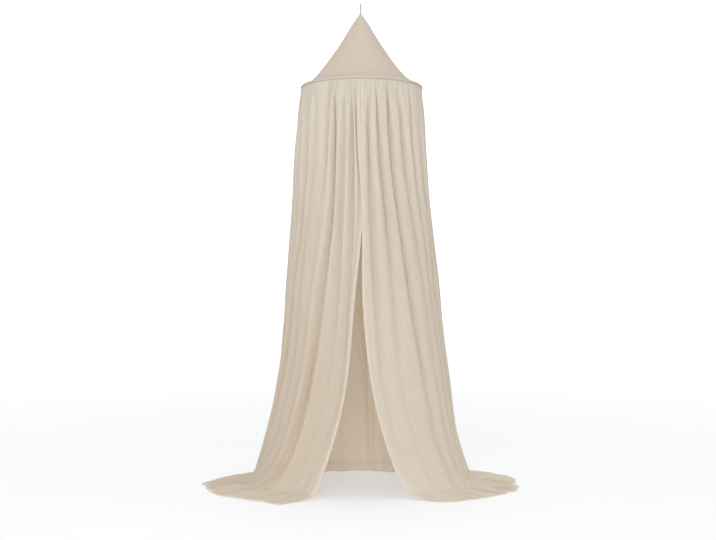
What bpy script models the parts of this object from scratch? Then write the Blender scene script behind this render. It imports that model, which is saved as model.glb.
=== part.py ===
"""Mosquito net canopy that hangs from one loop.

A plain-woven cone is stretched over a hoop. Two gathered muslin panels fall from the hoop to the floor,
where their surplus length lies spread out. They are seamed together behind, and part in front as the way in.

Metres, +Z up, +Y away from the front. The origin is where the hook bears, inside the top of the loop.
Heights in the tables are above the floor. A turn is measured in degrees round the canopy: 0 is the front,
90 the right-hand side, -90 the left-hand side and 180 the back.
"""

import math
from collections import namedtuple

import bpy
import numpy as np

# Heights, down the middle
HANG_HEIGHT = 1.995  # hook to floor
HOOP_HEIGHT = 1.643
CONE_RISE = 0.311  # hoop to the cone's tip
FLOOR_Z = -HANG_HEIGHT
HOOP_Z = HOOP_HEIGHT - HANG_HEIGHT
TIP_Z = HOOP_Z + CONE_RISE

# Hoop, and the casing that the cone's hem makes round it
HOOP_SHIFT = 0.004  # the hoop and its panels hang this far to the right of the hook
HOOP_RADIUS = 0.2445
HOOP_TUBE_RADIUS = 0.0035
CASING_PLAY = 0.0007
CONE_CLOTH = 0.0014
CASING_RADIUS = HOOP_TUBE_RADIUS + CASING_PLAY + CONE_CLOTH / 2  # to the middle of the cloth
CASING_START = 56.0  # degrees above the horizontal, where the cone's cloth comes down on to the hoop
CASING_END = -215.0
CASING_STEPS = 7
FLAP_GAP = 0.0005  # between the hem's flap and the cone's inner face
FLAP_ROWS = 2  # how many of the cone's rows the flap covers
ROUND_STEPS = 44
TUBE_STEPS = 8

# Loop
TAPE_WIDTH = 0.007
TAPE_THICKNESS = 0.0013
EYE_RADIUS = 0.004
EYE_STEPS = 6
LEG_SPACING = 0.0023  # between the middles of its two legs, where they enter the tip
LOOP_TAIL = 0.022  # length sewn down inside the tip
LEG_TOP = 0.004  # above the tip, where the legs begin to part

# Muslin panels
MUSLIN = 0.0016
SEW_GAP = 0.0003  # between pieces that are sewn together
SEAM_HEIGHT = HOOP_HEIGHT - CASING_RADIUS - CONE_CLOTH / 2 - SEW_GAP
GATHER_RUN = 0.06  # how far below the hoop the gathers have opened out
GATHER_SHARE = 0.25  # depth of a fold in the seam, as a share of its full depth
VALLEY_ROUNDING = 0.16
HEM_HALF_WIDTH = 0.655
HEM_FRONT = 0.45
HEM_BACK = 0.42
HEM_CREST = 0.005  # how high the ridges stand at the hem, on the floor
FLAT_VALLEY = 0.010  # a fold this deep lies right down on the floor
EDGE_SPREAD = 30.0  # turn over which the cloth beside a front edge swings out with it on the floor

ConeRow = namedtuple("ConeRow", "rise radius")
CONE_PROFILE = (
    ConeRow(0.311, 0.0060),
    ConeRow(0.272, 0.0290),
    ConeRow(0.238, 0.0490),
    ConeRow(0.204, 0.0690),
    ConeRow(0.170, 0.0905),
    ConeRow(0.136, 0.1130),
    ConeRow(0.102, 0.1370),
    ConeRow(0.068, 0.1635),
    ConeRow(0.044, 0.1845),
    ConeRow(0.026, 0.2070),
    ConeRow(0.0135, 0.2290),
)

# Outline of the hanging cloth at each height: how far its ridges reach to each side
Section = namedtuple("Section", "height left right front back")
SECTIONS = (
    Section(1.637, 0.2475, 0.2475, 0.2475, 0.2475),
    Section(1.600, 0.2535, 0.2515, 0.2520, 0.2520),
    Section(1.555, 0.2580, 0.2560, 0.2560, 0.2560),
    Section(1.470, 0.2700, 0.2620, 0.2620, 0.2620),
    Section(1.350, 0.2795, 0.2685, 0.2650, 0.2660),
    Section(1.180, 0.2885, 0.2780, 0.2680, 0.2700),
    Section(1.015, 0.2990, 0.3000, 0.2700, 0.2730),
    Section(0.850, 0.3130, 0.3175, 0.2720, 0.2760),
    Section(0.680, 0.3240, 0.3340, 0.2760, 0.2790),
    Section(0.515, 0.3405, 0.3550, 0.2810, 0.2830),
    Section(0.350, 0.3700, 0.3760, 0.2860, 0.2870),
    Section(0.225, 0.3965, 0.3925, 0.2900, 0.2900),
    Section(0.140, 0.4215, 0.4180, 0.2940, 0.2930),
    Section(0.100, 0.4345, 0.4300, 0.2970, 0.2960),
    Section(0.060, 0.4480, 0.4430, 0.3030, 0.3010),
    Section(0.028, 0.4700, 0.4650, 0.3130, 0.3110),
    Section(0.008, 0.5000, 0.4950, 0.3300, 0.3280),
)

# The heights that the columns of the next tables stand for
STATIONS = (1.60, 1.15, 0.75, 0.38, 0.10)

# The valleys between the folds: the turn of each at the stations, then its depth there in millimetres
Fold = namedtuple("Fold", "top chest waist knee foot d_top d_chest d_waist d_knee d_foot")
LEFT_FOLDS = (
    Fold(-169.0, -168.0, -168.0, -168.5, -170.0, 12, 15, 13, 9, 6),
    Fold(-157.0, -155.0, -153.0, -155.0, -158.0, 10, 18, 19, 15, 10),
    Fold(-145.0, -143.5, -142.5, -144.0, -148.0, 12, 13, 9, 6, 5),
    Fold(-132.0, -131.0, -130.0, -134.0, -138.0, 11, 20, 21, 18, 12),
    Fold(-121.0, -119.0, -121.0, -125.0, -130.0, 9, 14, 10, 6, 5),
    Fold(-109.0, -107.0, -109.0, -115.0, -121.0, 12, 22, 24, 20, 13),
    Fold(-97.0, -95.0, -97.0, -104.0, -111.0, 10, 13, 9, 8, 7),
    Fold(-84.0, -82.5, -85.0, -91.0, -101.0, 9, 18, 20, 16, 10),
    Fold(-71.0, -70.5, -74.0, -80.0, -91.0, 7, 10, 9, 9, 8),
    Fold(-57.5, -57.4, -63.0, -68.5, -80.0, 5, 23, 30, 25, 15),
    Fold(-46.0, -47.5, -53.0, -58.5, -69.0, 6, 9, 5, 4, 5),
    Fold(-32.0, -35.5, -42.5, -48.5, -59.0, 11, 8, 5, 5, 6),
    Fold(-25.0, -25.0, -32.7, -39.3, -48.9, 12, 26, 28, 29, 22),
    Fold(-16.3, -17.3, -20.3, -26.0, -35.0, 7, 11, 12, 6, 6),
    Fold(-9.5, -8.0, -9.5, -15.0, -27.0, 12, 22, 14, 6, 5),
)
RIGHT_FOLDS = (
    Fold(5.7, 7.5, 11.0, 16.3, 26.0, 12, 25, 22, 10, 5),
    Fold(13.2, 19.0, 24.3, 29.5, 37.0, 14, 23, 13, 6, 5),
    Fold(24.0, 31.3, 39.7, 47.5, 52.0, 13, 22, 30, 23, 10),
    Fold(36.5, 46.0, 53.5, 59.0, 63.0, 11, 13, 6, 7, 14),
    Fold(52.5, 57.5, 63.0, 71.0, 76.0, 20, 8, 5, 5, 6),
    Fold(66.0, 69.4, 73.0, 84.0, 91.0, 9, 20, 22, 16, 9),
    Fold(79.0, 80.5, 85.0, 95.0, 101.0, 10, 12, 9, 8, 7),
    Fold(91.0, 92.5, 96.0, 105.0, 112.0, 11, 20, 21, 17, 11),
    Fold(104.0, 104.5, 107.0, 115.0, 121.0, 9, 12, 9, 7, 6),
    Fold(115.0, 117.0, 118.5, 125.0, 130.0, 12, 21, 22, 18, 12),
    Fold(128.0, 128.5, 130.0, 134.0, 138.0, 10, 13, 8, 6, 5),
    Fold(139.5, 141.0, 141.5, 144.0, 147.0, 11, 19, 20, 16, 10),
    Fold(151.0, 152.0, 151.5, 153.0, 155.5, 9, 14, 11, 8, 6),
    Fold(161.0, 162.0, 161.0, 162.5, 163.5, 12, 18, 17, 13, 9),
    Fold(171.5, 171.0, 171.5, 171.0, 172.0, 9, 12, 9, 7, 5),
)
# A narrow ridge of the left panel shows beside the right edge, then its cloth goes behind that edge
LEFT_TUCK = Fold(-4.6, -4.6, -7.6, -13.2, -23.5, 20, 15, 10, 5, 4)

# The front edges, in the same way, with the turn that each has at the hem. Above the waist the left edge
# is tucked behind the right one
Edge = namedtuple("Edge", "top chest waist knee foot hem d_top d_chest d_waist d_knee d_foot")
LEFT_EDGE = Edge(-0.5, -1.6, -5.2, -10.9, -20.0, -25.0, 20, 15, 9, 5, 3)
RIGHT_EDGE = Edge(-4.9, -2.0, 0.8, 7.5, 17.9, 29.0, 2, 2, 3, 3, 3)

# The seam behind at the stations: metres to the right of the middle, and depth in millimetres
Seam = namedtuple("Seam", "x_top x_chest x_waist x_knee x_foot d_top d_chest d_waist d_knee d_foot")
BACK_SEAM = Seam(0.0, 0.002, 0.008, 0.018, 0.024, 6, 10, 9, 7, 5)

# How far the hem reaches over the floor at each turn, as a share of the hem's oval
HemRow = namedtuple("HemRow", "turn share")
HEM = (
    HemRow(-180, 1.00),
    HemRow(-160, 0.96),
    HemRow(-140, 1.00),
    HemRow(-122, 0.99),
    HemRow(-105, 0.975),
    HemRow(-91, 1.00),
    HemRow(-76, 0.98),
    HemRow(-60, 1.00),
    HemRow(-48, 0.98),
    HemRow(-38, 0.99),
    HemRow(-33, 1.00),
    HemRow(-28.5, 1.075),
    HemRow(-24.5, 1.06),
    HemRow(27, 0.89),
    HemRow(32, 0.955),
    HemRow(42, 0.96),
    HemRow(55, 0.975),
    HemRow(72, 0.99),
    HemRow(84, 0.985),
    HemRow(90, 0.965),
    HemRow(98, 1.00),
    HemRow(110, 1.045),
    HemRow(122, 1.05),
    HemRow(140, 1.00),
    HemRow(160, 0.97),
    HemRow(180, 1.00),
)

# Rows of a panel's mesh: heights where it hangs, then shares of the way from there out to the hem
HANGING_ROWS = (
    SEAM_HEIGHT, 1.618, 1.588, 1.540, 1.470, 1.360, 1.200, 1.030, 0.860,
    0.700, 0.540, 0.400, 0.280, 0.180, 0.105, 0.055, 0.024, 0.008,
)
LYING_ROWS = (0.22, 0.48, 0.76, 1.0)
SWING_START = 0.105  # below this height the front edges swing outwards
SWUNG_HANGING = 0.55  # share of the swing that is done where the cloth meets the floor
FOLD_STEPS = (0.0, 0.2, 0.5, 0.8)  # valley, side, ridge, side
EDGE_STEPS = (0.18, 0.34, 0.5)  # from the last valley to the edge, which is a ridge


def through(places, values, place):
    """The value at this place on a smooth curve through the given points, held level past both ends."""
    if places[0] > places[-1]:
        places, values = places[::-1], values[::-1]
    if place <= places[0]:
        return float(values[0])
    if place >= places[-1]:
        return float(values[-1])
    slopes = np.gradient(np.array(values, float), np.array(places, float))
    i = int(np.searchsorted(places, place, side="right")) - 1
    span = places[i + 1] - places[i]
    t = (place - places[i]) / span
    start = values[i] * (1 + 2 * t) * (1 - t) ** 2 + slopes[i] * span * t * (1 - t) ** 2
    end = values[i + 1] * t * t * (3 - 2 * t) - slopes[i + 1] * span * t * t * (1 - t)
    return float(start + end)


def outline(height):
    """How far the ridges reach to the left, right, front and back at this height."""
    heights = [row.height for row in SECTIONS]
    return [through(heights, [row[side] for row in SECTIONS], height) for side in range(1, 5)]


def on_oval(left, right, front, back, turn):
    """The point at this turn of an oval with a different reach to each side."""
    sine, cosine = math.sin(math.radians(turn)), math.cos(math.radians(turn))
    return (right if sine > 0 else left) * sine, -(front if cosine > 0 else back) * cosine


def gathered(height):
    """Share of its depth that a fold has at this height: small in the seam, and full below the gathers."""
    below = min(1.0, (SEAM_HEIGHT - height) / GATHER_RUN)
    return GATHER_SHARE + (1 - GATHER_SHARE) * below * below * (3 - 2 * below)


def valley(phase):
    """Share of its depth across a fold: 1 in the valley, at phase 0, and 0 on the ridge, at phase 0.5."""
    rise = math.hypot(math.sin(math.pi * phase), VALLEY_ROUNDING) - VALLEY_ROUNDING
    return 1 - rise / (math.hypot(1, VALLEY_ROUNDING) - VALLEY_ROUNDING)


def line_at(line, height):
    """Turn and depth of a fold or an edge at this height."""
    depth = through(STATIONS, line[-5:], height) / 1000
    return through(STATIONS, line[:5], height), depth * gathered(height)


def seam_at(height, side):
    """Turn and depth of a panel's side of the seam behind. side is -1 for the left panel, 1 for the right."""
    shift, depth = line_at(BACK_SEAM, height)
    shift += side * SEW_GAP / 2
    reach = outline(height)[1 if shift > 0 else 0] - depth
    return side * 180 - math.degrees(math.asin(shift / reach)), depth


def panel_columns(folds, edge, side, height):
    """(turn, depth) of a panel's columns at this height, from the seam behind to the front edge."""
    valleys = [line_at(fold, height) for fold in folds]
    if side > 0:
        valleys.reverse()
    valleys.insert(0, seam_at(height, side))
    columns = []
    for (turn, depth), (next_turn, next_depth) in zip(valleys, valleys[1:]):
        for phase in FOLD_STEPS:
            here = depth * valley(phase) if phase < 0.5 else next_depth * valley(1 - phase)
            columns.append((turn + (next_turn - turn) * phase, here))
    turn, depth = valleys[-1]
    edge_turn, edge_depth = line_at(edge, height)
    columns.append((turn, depth))
    for phase in EDGE_STEPS:
        here = edge_depth + (depth - edge_depth) * valley(phase)
        columns.append((turn + (edge_turn - turn) * 2 * phase, here))
    return columns


def swung(turn, edge, share):
    """The turn after the front edge has done this share of its swing outwards over the floor."""
    nearness = max(0.0, 1 - abs(turn - edge.foot) / EDGE_SPREAD)
    return turn + (edge.hem - edge.foot) * nearness * share


def hanging_row(folds, edge, side, height):
    swing = SWUNG_HANGING * max(0.0, 1 - height / SWING_START)
    row = []
    for turn, depth in panel_columns(folds, edge, side, height):
        x, y = on_oval(*[reach - depth for reach in outline(height)], swung(turn, edge, swing))
        row.append((x, y, FLOOR_Z + height))
    return row


def lying_row(folds, edge, side, share):
    """The cloth on the floor, this share of the way from where it comes down out to the hem."""
    height = HANGING_ROWS[-1]
    crest = height + (HEM_CREST - height) * share
    swing = SWUNG_HANGING + (1 - SWUNG_HANGING) * share
    row = []
    for turn, depth in panel_columns(folds, edge, side, height):
        turn = swung(turn, edge, swing)
        reach = through([row.turn for row in HEM], [row.share for row in HEM], turn)
        near = on_oval(*outline(height), turn)
        far = on_oval(HEM_HALF_WIDTH, HEM_HALF_WIDTH, HEM_FRONT, HEM_BACK, turn)
        x, y = [start + (end * reach - start) * share for start, end in zip(near, far)]
        lift = MUSLIN / 2 + crest * max(0.0, 1 - depth / FLAT_VALLEY)
        row.append((x, y, FLOOR_Z + lift))
    return row


def panel_grid(folds, edge, side):
    """Points of the middle of a panel's cloth, in rows from the hoop down and out to the hem."""
    rows = [hanging_row(folds, edge, side, height) for height in HANGING_ROWS]
    rows += [lying_row(folds, edge, side, share) for share in LYING_ROWS]
    grid = np.array(rows)
    return grid if side < 0 else grid[:, ::-1]


def grid_normals(grid, seam_column):
    """Outward normals of a grid. At the seam they keep to its plane, so that the panels don't overlap."""
    down = np.gradient(grid, axis=0)
    across = np.gradient(grid, axis=1)
    normals = np.cross(down, across)
    normals[:, seam_column, 0] = 0
    return normals / np.linalg.norm(normals, axis=2, keepdims=True)


def cloth_faces(rows, columns):
    """Triangles of a closed sheet: its outer grid, then its inner grid with the same diagonals, and rims."""
    inner = rows * columns
    faces = []
    for row in range(rows - 1):
        for column in range(columns - 1):
            a = row * columns + column
            b, c, d = a + 1, a + columns + 1, a + columns
            for face in ((a, d, c), (a, c, b)):
                faces.append(face)
                faces.append(tuple(inner + corner for corner in reversed(face)))
    top = [column for column in range(columns)]
    right = [row * columns + columns - 1 for row in range(1, rows)]
    bottom = [(rows - 1) * columns + column for column in range(columns - 2, -1, -1)]
    left = [row * columns for row in range(rows - 2, 0, -1)]
    rim = top + right + bottom + left
    for start, end in zip(rim, rim[1:] + rim[:1]):
        faces.append((start, end, inner + end))
        faces.append((start, inner + end, inner + start))
    return faces


def cloth_material(name, color, roughness):
    material = bpy.data.materials.new(name)
    material.use_nodes = True
    shader = material.node_tree.nodes["Principled BSDF"]
    shader.inputs["Base Color"].default_value = (*color, 1)
    shader.inputs["Roughness"].default_value = roughness
    shader.inputs["Metallic"].default_value = 0
    return material


def add_object(name, points, faces, material):
    mesh = bpy.data.meshes.new(name)
    mesh.from_pydata([tuple(point) for point in points], [], faces)
    mesh.materials.append(material)
    mesh.shade_smooth()
    mesh.set_sharp_from_angle(angle=math.radians(50))
    piece = bpy.data.objects.new(name, mesh)
    bpy.context.scene.collection.objects.link(piece)
    return piece


def turned_ring(profile):
    """Points and faces of a closed (radius, height) outline turned once round the upright axis."""
    count = len(profile)
    points = []
    faces = []
    for step in range(ROUND_STEPS):
        angle = 2 * math.pi * step / ROUND_STEPS
        points += [(r * math.cos(angle), r * math.sin(angle), z) for r, z in profile]
        following = (step + 1) % ROUND_STEPS
        for i in range(count):
            j = (i + 1) % count
            faces.append((step * count + i, step * count + j, following * count + j, following * count + i))
    return points, faces


def offset_line(line, distance):
    """An open (radius, height) line moved sideways, to the left of its own direction where positive."""
    line = np.array(line)
    along = np.gradient(line, axis=0)
    along /= np.linalg.norm(along, axis=1, keepdims=True)
    return line + distance * np.stack([-along[:, 1], along[:, 0]], axis=1)


def make_cone(material):
    """The cone's cloth, from its open tip down, round under the hoop, and up inside as the hem's flap."""
    outside = [(row.radius, HOOP_Z + row.rise) for row in CONE_PROFILE]
    cone = [tuple(point) for point in offset_line(outside, -CONE_CLOTH / 2)]
    casing = []
    for step in range(CASING_STEPS + 1):
        angle = math.radians(CASING_START + (CASING_END - CASING_START) * step / CASING_STEPS)
        casing.append((HOOP_RADIUS + CASING_RADIUS * math.cos(angle), HOOP_Z + CASING_RADIUS * math.sin(angle)))
    flap = offset_line(cone, -(CONE_CLOTH + FLAP_GAP))[-FLAP_ROWS:]
    middle = cone + casing + [tuple(point) for point in flap[::-1]]
    outer = offset_line(middle, CONE_CLOTH / 2)
    inner = offset_line(middle, -CONE_CLOTH / 2)
    profile = [tuple(point) for point in np.concatenate([outer, inner[::-1]])]
    points, faces = turned_ring(profile)
    leaning = [(x + HOOP_SHIFT * (TIP_Z - z) / CONE_RISE, y, z) for x, y, z in points]
    return add_object("cone", leaning, faces, material)


def make_hoop(material):
    angles = [-2 * math.pi * (step + 0.5) / TUBE_STEPS for step in range(TUBE_STEPS)]
    profile = [
        (HOOP_RADIUS + HOOP_TUBE_RADIUS * math.cos(angle), HOOP_Z + HOOP_TUBE_RADIUS * math.sin(angle))
        for angle in angles
    ]
    points, faces = turned_ring(profile)
    return add_object("hoop", points, faces, material)


def make_loop(material):
    """The tape, seen edge on from the side: up out of the tip, round the eye, and down into the tip."""
    reach = EYE_RADIUS + TAPE_THICKNESS / 2
    leg = LEG_SPACING / 2
    part_z = TIP_Z + LEG_TOP
    eye_z = -EYE_RADIUS
    rising = [
        (leg, TIP_Z - LOOP_TAIL),
        (leg, part_z),
        (leg + (reach - leg) * 0.25, part_z + (eye_z - part_z) * 0.35),
        (leg + (reach - leg) * 0.80, part_z + (eye_z - part_z) * 0.75),
    ]
    over = []
    for step in range(EYE_STEPS + 1):
        angle = math.pi * step / EYE_STEPS
        over.append((reach * math.cos(angle), eye_z + reach * math.sin(angle)))
    path = rising + over + [(-y, z) for y, z in reversed(rising)]
    sides = [offset_line(path, share * TAPE_THICKNESS / 2) for share in (-1, 1)]
    points = []
    for (outer_y, outer_z), (inner_y, inner_z) in zip(*sides):
        for x, y, z in (
            (1, outer_y, outer_z), (-1, outer_y, outer_z), (-1, inner_y, inner_z), (1, inner_y, inner_z),
        ):
            points.append((x * TAPE_WIDTH / 2, y, z))
    faces = [(3, 2, 1, 0)]
    for step in range(len(path) - 1):
        for i in range(4):
            j = (i + 1) % 4
            faces.append((step * 4 + i, step * 4 + j, step * 4 + 4 + j, step * 4 + 4 + i))
    last = (len(path) - 1) * 4
    faces.append((last, last + 1, last + 2, last + 3))
    return add_object("hang_loop", points, faces, material)


def make_panel(name, folds, edge, side, material):
    grid = panel_grid(folds, edge, side)
    rows, columns, _ = grid.shape
    normals = grid_normals(grid, 0 if side < 0 else columns - 1)
    outer = (grid + normals * MUSLIN / 2).reshape(-1, 3)
    inner = (grid - normals * MUSLIN / 2).reshape(-1, 3)
    return add_object(name, np.concatenate([outer, inner]), cloth_faces(rows, columns), material)


def build():
    for old in list(bpy.data.objects):
        bpy.data.objects.remove(old)
    muslin = cloth_material("muslin", (0.70, 0.60, 0.49), 0.92)
    cone_cloth = cloth_material("cone_cloth", (0.66, 0.55, 0.44), 0.85)
    hoop_plastic = cloth_material("hoop_plastic", (0.80, 0.78, 0.74), 0.45)
    tape = cloth_material("loop_tape", (0.74, 0.70, 0.63), 0.9)
    pieces = [
        make_loop(tape),
        make_cone(cone_cloth),
        make_hoop(hoop_plastic),
        make_panel("drape_left", (*LEFT_FOLDS, LEFT_TUCK), LEFT_EDGE, -1, muslin),
        make_panel("drape_right", RIGHT_FOLDS, RIGHT_EDGE, 1, muslin),
    ]
    hook_point = bpy.data.objects.new("hook_point", None)
    bpy.context.scene.collection.objects.link(hook_point)
    for piece in pieces:
        piece.parent = hook_point
    for piece in pieces[2:]:
        piece.location.x = HOOP_SHIFT


build()
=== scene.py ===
"""Mosquito net canopy: a plain-woven cone over a hoop, and two gathered muslin panels that fall to the floor.

Metres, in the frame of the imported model: +Z up, +Y away from the front, the hook at the origin. Heights in
the tables are above the floor. A turn is measured in degrees round the canopy: 0 is the front, 90 the
right-hand side, -90 the left-hand side and 180 the back.
"""

import math
from collections import namedtuple

import bpy
import numpy as np
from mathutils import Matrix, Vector


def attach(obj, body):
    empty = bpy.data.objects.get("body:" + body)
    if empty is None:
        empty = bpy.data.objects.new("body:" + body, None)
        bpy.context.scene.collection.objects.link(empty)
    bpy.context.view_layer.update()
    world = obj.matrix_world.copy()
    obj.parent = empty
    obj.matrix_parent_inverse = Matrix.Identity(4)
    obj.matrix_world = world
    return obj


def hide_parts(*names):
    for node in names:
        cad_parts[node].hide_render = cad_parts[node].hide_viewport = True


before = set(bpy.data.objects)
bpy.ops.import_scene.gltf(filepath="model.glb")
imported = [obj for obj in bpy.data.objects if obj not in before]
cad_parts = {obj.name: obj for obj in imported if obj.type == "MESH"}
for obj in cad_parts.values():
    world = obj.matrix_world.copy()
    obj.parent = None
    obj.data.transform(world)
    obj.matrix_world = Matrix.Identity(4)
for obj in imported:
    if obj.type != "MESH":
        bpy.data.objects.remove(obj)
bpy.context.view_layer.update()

# ---- Hanging loop ----
# A short length of narrow off-white cotton tape, folded over to an eye that goes on the ceiling hook. Its
# two legs are sewn flat together and go down into the tip of the cone.

TIP_Z = -0.041
TAPE_WIDTH = 0.007
TAPE_THICKNESS = 0.0011
EYE_RADIUS = 0.004
LEG_SPACING = 0.0023  # between the middles of the two legs, where they enter the tip
LEG_TOP = 0.004  # above the tip, where the legs begin to part
LOOP_TAIL = 0.022  # length sewn down inside the tip
TAPE_COLOR = (0.48, 0.485, 0.44)
TAPE_RIB = 0.0009  # width of a rib of its weave
SELVEDGE = 0.12  # share by which the tape's two edges are thicker
TAPE_RELIEF = 0.00018  # height of its ribs
LEG_STEPS = 14
OPENING_STEPS = 16
EYE_STEPS = 24


def grid_normals(middle, ring=False):
    """Unit normals of a grid of points. With ring, each row closes on itself."""
    down = np.gradient(middle, axis=0)
    if ring:
        across = np.roll(middle, -1, axis=1) - np.roll(middle, 1, axis=1)
    else:
        across = np.gradient(middle, axis=1)
    normals = np.cross(down, across)
    return normals / np.linalg.norm(normals, axis=2, keepdims=True)


def in_scene(name, data):
    """A new object of the scene, at the origin."""
    thing = bpy.data.objects.new(name, data)
    bpy.context.scene.collection.objects.link(thing)
    return thing


def cloth_shell(name, middle, normals, thickness, cut, material, ring=False, marks=None):
    """A closed shell of cloth round the grid of its middle points, with the UV map "cut" of the flat cloth in
    metres. thickness is one number or a grid. marks are grids from 0 to 1 that the material reads by name."""
    rows, columns = middle.shape[:2]
    half = normals * (np.ones((rows, columns)) * thickness)[..., None] / 2
    points = np.concatenate([(middle + half).reshape(-1, 3), (middle - half).reshape(-1, 3)])
    inner = rows * columns
    last = columns if ring else columns - 1
    row, span = [part.ravel() for part in np.mgrid[: rows - 1, :last]]
    corners = ((row, span), (row + 1, span), (row + 1, span + 1), (row, span + 1))
    quads = np.stack([r * columns + s % columns for r, s in corners], axis=1)
    quad_cut = np.stack([cut[r, s] for r, s in corners], axis=1)
    sides = [[(0, c) for c in range(last + 1)], [(rows - 1, c) for c in range(last, -1, -1)]]
    if not ring:
        sides += [[(r, last) for r in range(rows)], [(r, 0) for r in range(rows - 1, -1, -1)]]
    pairs = [pair for side in sides for pair in zip(side, side[1:])]
    rim = np.array([[r * columns + c % columns for r, c in pair] for pair in pairs])
    rim_quads = np.concatenate([rim, rim[:, ::-1] + inner], axis=1)
    rim_cut = np.array([[cut[start], cut[end], cut[end], cut[start]] for start, end in pairs])
    faces = np.concatenate([quads, quads[:, ::-1] + inner, rim_quads])
    mesh = bpy.data.meshes.new(name)
    mesh.from_pydata(points.tolist(), [], faces.tolist())
    flat = np.concatenate([quad_cut, quad_cut[:, ::-1], rim_cut]).reshape(-1)
    mesh.uv_layers.new(name="cut").data.foreach_set("uv", flat)
    for mark, grid in (marks or {}).items():
        mesh.attributes.new(mark, "FLOAT", "POINT").data.foreach_set("value", np.tile(grid.reshape(-1), 2))
    mesh.materials.append(material)
    mesh.shade_smooth()
    mesh.set_sharp_from_angle(angle=math.radians(62))
    return in_scene(name, mesh)


def add_node(tree, kind, inputs=(), **settings):
    """A new shader node. inputs: (name or number, socket to join or value to set) pairs."""
    node = tree.nodes.new("ShaderNode" + kind)
    for key, value in settings.items():
        setattr(node, key, value)
    for key, value in inputs:
        if isinstance(value, bpy.types.NodeSocket):
            tree.links.new(value, node.inputs[key])
        else:
            node.inputs[key].default_value = value
    return node


def new_material(name, on_cloth=True):
    """A material, its node tree, and the place of each point: on the flat cloth, or else in the scene."""
    material = bpy.data.materials.new(name)
    material.use_nodes = True
    tree = material.node_tree
    tree.nodes.clear()
    if on_cloth:
        return material, tree, add_node(tree, "UVMap", uv_map="cut").outputs[0]
    return material, tree, add_node(tree, "TexCoord").outputs["Object"]


def arithmetic(tree, operation, *values):
    """The output of a Math node."""
    return add_node(tree, "Math", enumerate(values), operation=operation).outputs[0]


def noise(tree, place, scale, detail, roughness=0.6, dimensions="3D"):
    """Noise from 0 to 1, the same in every direction."""
    inputs = [("Vector", place), ("Scale", scale), ("Detail", detail), ("Roughness", roughness)]
    return add_node(tree, "TexNoise", inputs, noise_dimensions=dimensions).outputs["Fac"]


def stretched_noise(tree, place, across, along, detail=3.0, roughness=0.55):
    """Noise from 0 to 1 whose grain has this size across and along the flat cloth, in metres."""
    scaled = add_node(tree, "VectorMath", [(0, place), (1, (1 / across, 1 / along, 1))], operation="MULTIPLY")
    return noise(tree, scaled.outputs[0], 1.0, detail, roughness, "2D")


def mixed_color(tree, factor, low, high):
    """A colour between low and high, by a factor from 0 to 1. Either may be a socket."""
    values = [value if isinstance(value, bpy.types.NodeSocket) else (*value, 1) for value in (low, high)]
    mix = add_node(tree, "Mix", [(0, factor), (6, values[0]), (7, values[1])], data_type="RGBA")
    return mix.outputs[2]


def bumped(tree, height, distance, under=None):
    """A normal raised by this height, from 0 to 1, times distance in metres, on top of another normal."""
    inputs = [("Height", height), ("Distance", distance), ("Strength", 1.0)]
    if under is not None:
        inputs.append(("Normal", under))
    return add_node(tree, "Bump", inputs).outputs[0]


def cover(tree, color, normal, roughness, sheen=0.0, specular=0.5, passing=None):
    """Join a shader of this colour and relief to the material's output. passing: the share of the light that
    goes through the cloth, and the colour that it has then."""
    shader = add_node(
        tree, "BsdfPrincipled",
        [("Base Color", color), ("Roughness", roughness), ("Sheen Weight", sheen),
         ("Specular IOR Level", specular), ("Normal", normal)],
    )
    if passing:
        glow = add_node(tree, "BsdfTranslucent", [("Color", passing[1]), ("Normal", normal)])
        shader = add_node(tree, "MixShader", [(0, passing[0]), (1, shader.outputs[0]), (2, glow.outputs[0])])
    add_node(tree, "OutputMaterial", [("Surface", shader.outputs[0])])


def plain_weave(tree, place, pitch):
    """Height of a plain weave from 0 to 1, whose threads cross at this pitch over and under each other."""
    scaled = add_node(tree, "VectorMath", [(0, place), ("Scale", math.pi / pitch)], operation="SCALE")
    parts = add_node(tree, "SeparateXYZ", [(0, scaled.outputs[0])])
    waves = [arithmetic(tree, "SINE", parts.outputs[axis]) for axis in (0, 1)]
    crossing = arithmetic(tree, "MULTIPLY", *waves)
    return arithmetic(tree, "MULTIPLY_ADD", crossing, 0.5, 0.5)


def shaded(color, share):
    """The same colour, darker or lighter by this share."""
    return tuple(part * (1 + share) for part in color)


def tape_finish():
    material, tree, place = new_material("tape_twill")
    parts = add_node(tree, "SeparateXYZ", [(0, place)])
    across = arithmetic(tree, "ABSOLUTE", parts.outputs[0])
    slant = arithmetic(tree, "ADD", across, parts.outputs[1])
    rib = arithmetic(tree, "SINE", arithmetic(tree, "MULTIPLY", slant, 2 * math.pi / TAPE_RIB))
    height = arithmetic(tree, "MULTIPLY_ADD", rib, 0.5, 0.5)
    wear = stretched_noise(tree, place, 0.002, 0.004)
    color = mixed_color(tree, wear, shaded(TAPE_COLOR, -0.08), shaded(TAPE_COLOR, 0.07))
    color = mixed_color(tree, arithmetic(tree, "MULTIPLY", height, 0.35), shaded(TAPE_COLOR, -0.22), color)
    cover(tree, color, bumped(tree, height, TAPE_RELIEF), 0.9, sheen=0.1, specular=0.25)
    return material


def eased(share):
    """From 0 to 1 with a soft start and end."""
    share = np.clip(share, 0, 1)
    return share * share * (3 - 2 * share)


def run_along(points):
    """Distance of each point from the first, along a line of points or down each column of a grid."""
    steps = np.linalg.norm(np.diff(points, axis=0), axis=-1)
    return np.concatenate([0 * steps[:1], np.cumsum(steps, axis=0)])


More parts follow.
